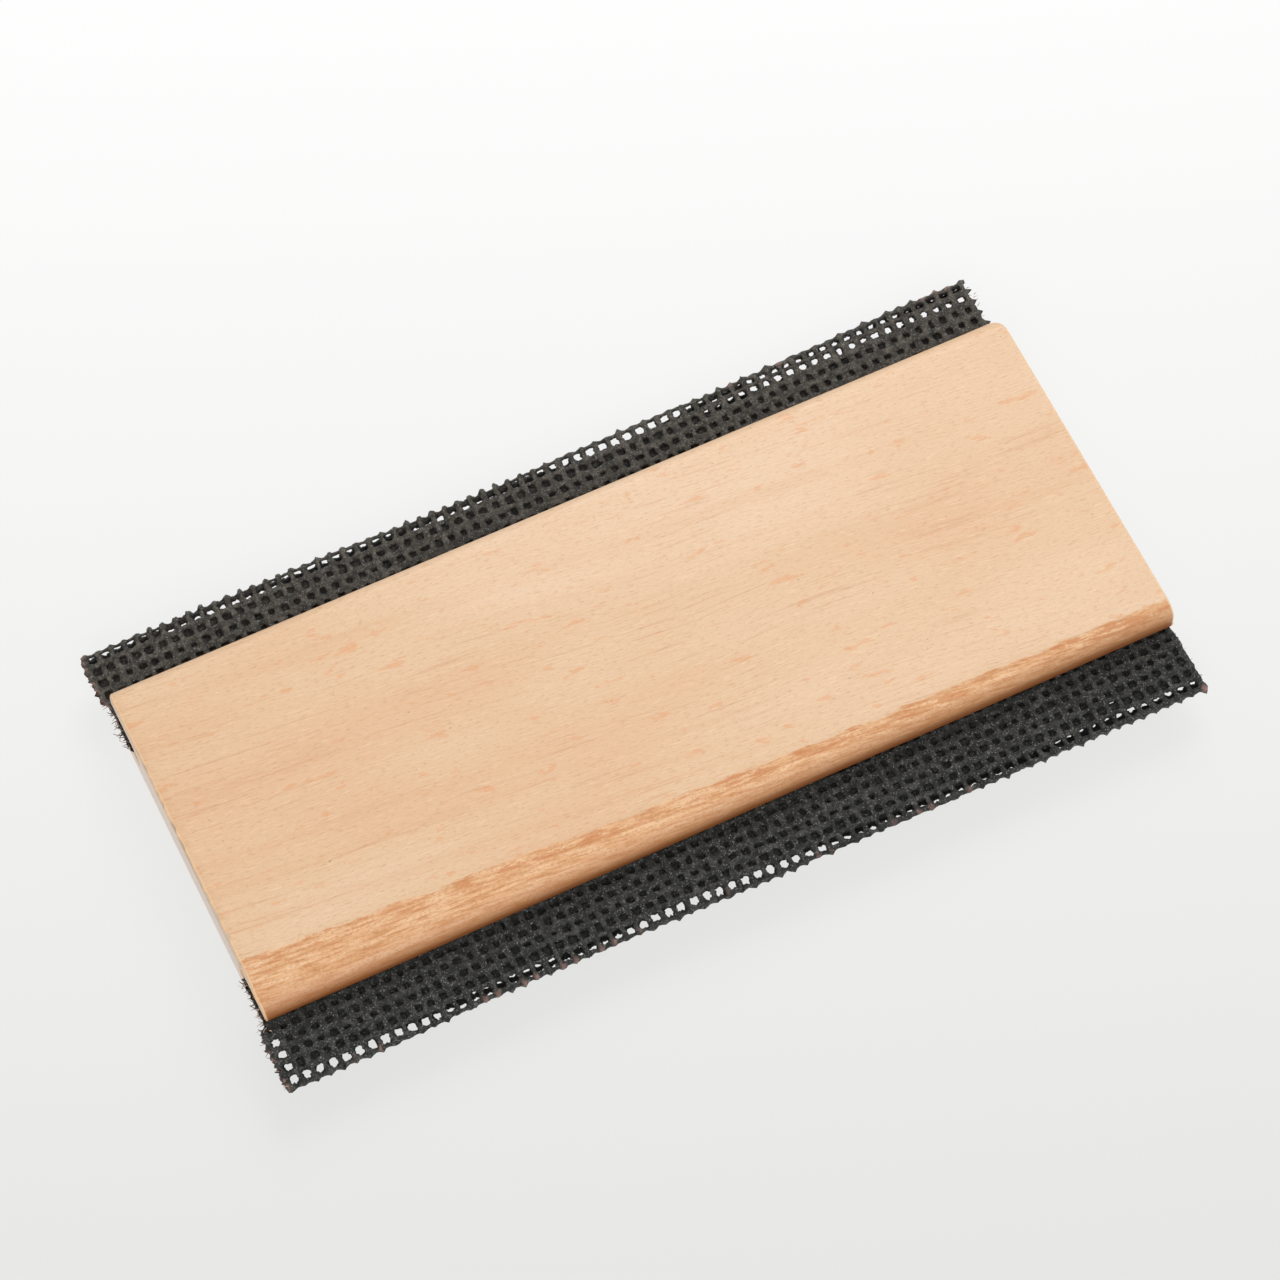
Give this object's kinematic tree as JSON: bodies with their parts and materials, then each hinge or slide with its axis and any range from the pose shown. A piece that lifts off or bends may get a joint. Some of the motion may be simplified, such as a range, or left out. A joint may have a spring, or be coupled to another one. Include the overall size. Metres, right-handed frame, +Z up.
{
  "type": "sanding block",
  "caption": "Flat wooden hand block with a folded strip of grit-coated net glued into a slot in each long side.",
  "frame": {"origin": "middle of the object's footprint, at the block's base", "axes": "+X along the block, +Y across it towards the far strip, +Z up out of the top face"},
  "size_m": [0.1256, 0.0652, 0.01],
  "materials": {
    "beech": "sanded smooth, thin satin wax",
    "abrasive_net": "open woven net coated with black grit",
    "wood_glue": "set wood glue, slightly glossy"
  },
  "bodies": {
    "root": {"wood_block": "beech", "far_net_strip": "abrasive_net", "near_net_strip": "abrasive_net", "far_glue_line": "wood_glue", "near_glue_line": "wood_glue"}
  },
  "joints": []
}
